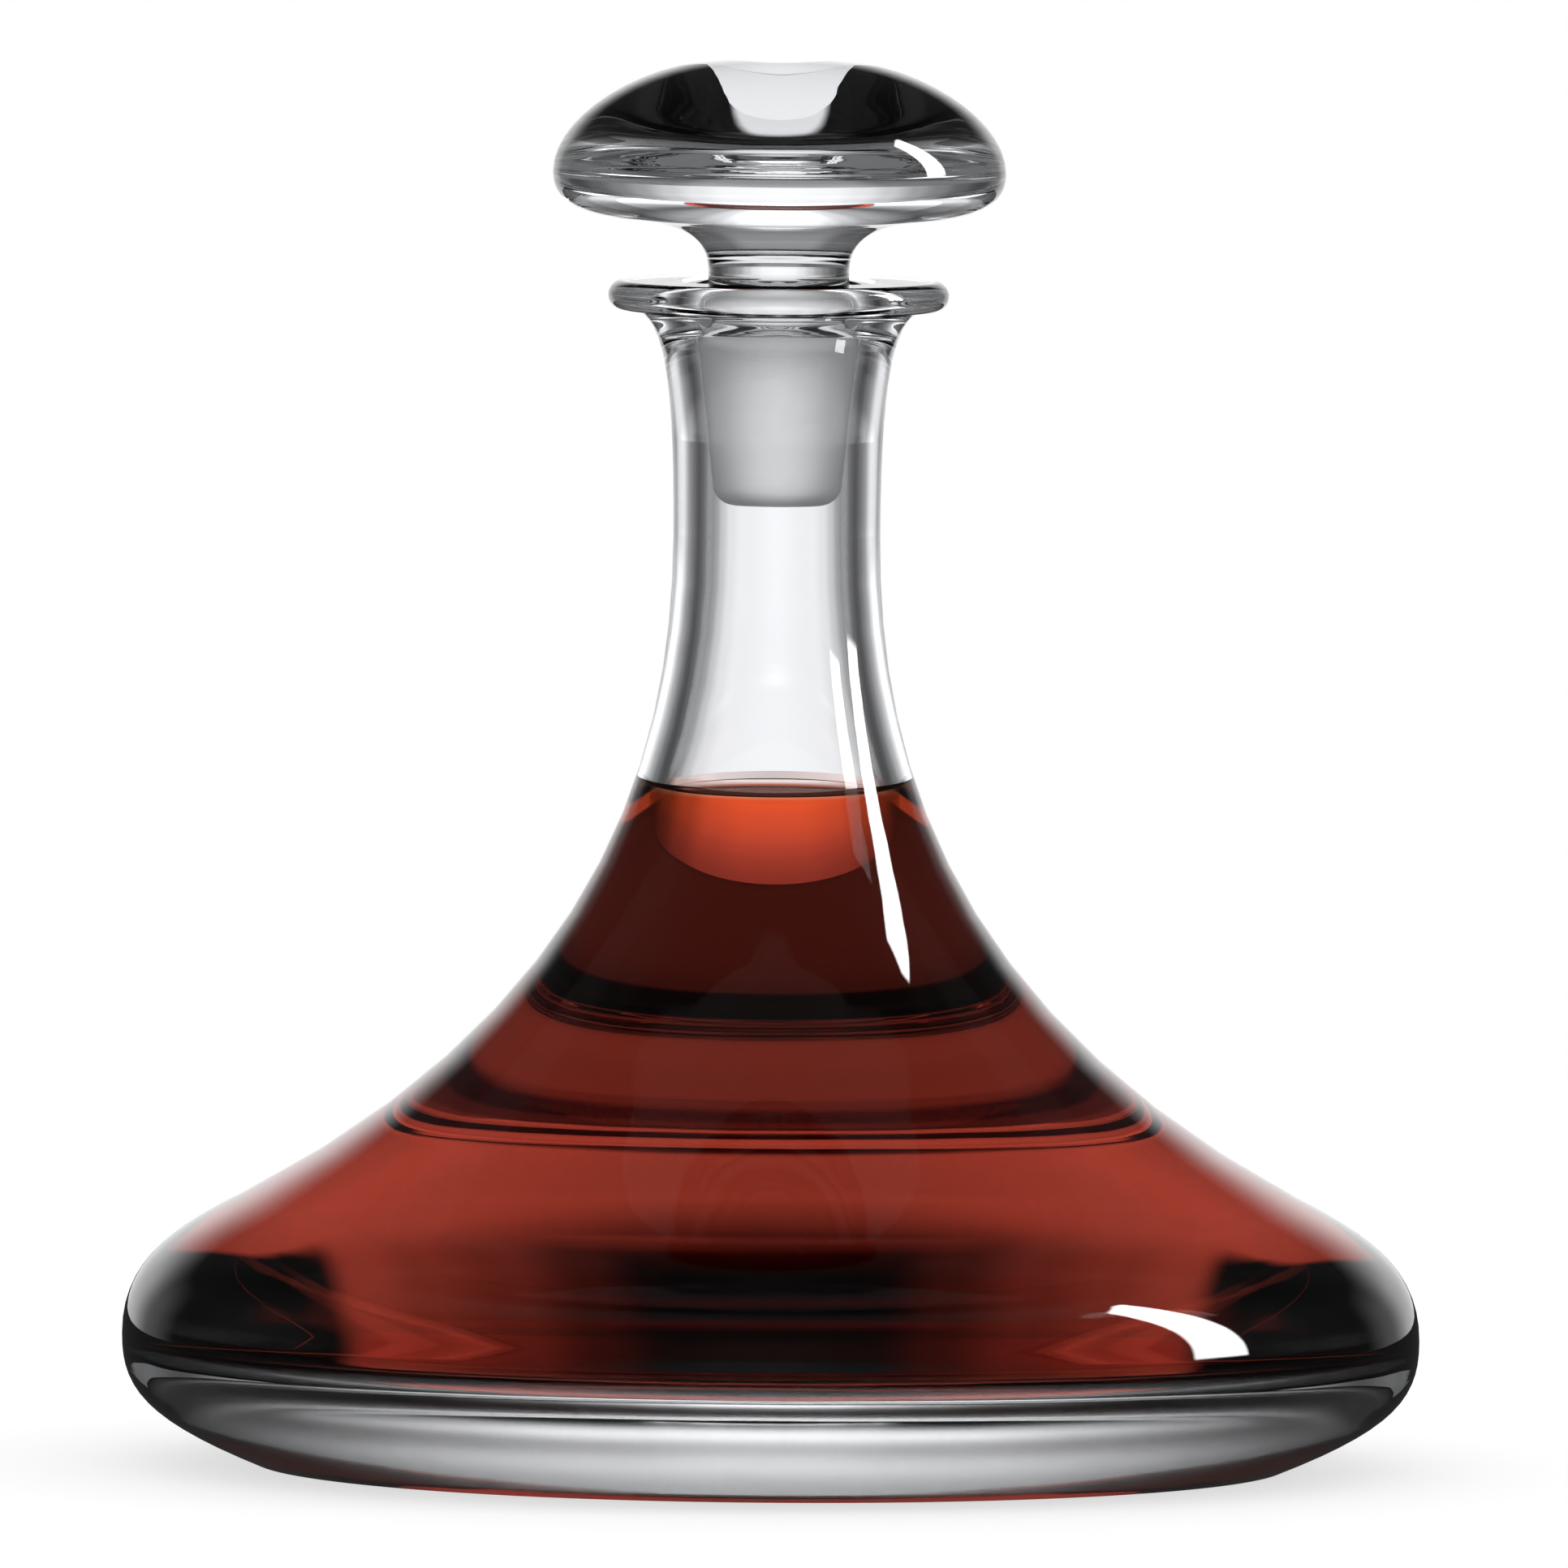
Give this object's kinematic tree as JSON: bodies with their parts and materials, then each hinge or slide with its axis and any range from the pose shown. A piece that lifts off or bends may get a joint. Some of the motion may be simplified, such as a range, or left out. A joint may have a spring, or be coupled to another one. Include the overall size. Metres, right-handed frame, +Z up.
{
  "type": "stoppered decanter",
  "caption": "Wide-bellied clear glass ship's decanter with a slender neck, ring lip and lift-out mushroom stopper, filled with red wine.",
  "frame": {"origin": "centre of the flat foot that the vessel stands on", "axes": "+Z up along the axis of revolution, through the neck and the stopper; the object is the same all round, so X and Y are free"},
  "size_m": [0.2, 0.2, 0.2172],
  "materials": {
    "vessel_glass": "polished",
    "stopper_glass": "polished",
    "wine": "gloss"
  },
  "bodies": {
    "vessel": {"decanter_body": "vessel_glass", "wine": "wine"},
    "stopper": {"stopper": "stopper_glass"}
  },
  "joints": [
    {"name": "stopper_lift", "type": "slide", "parent": "vessel", "child": "stopper", "axis": [0, 0, 1], "range_m": [0, 0.06]}
  ]
}
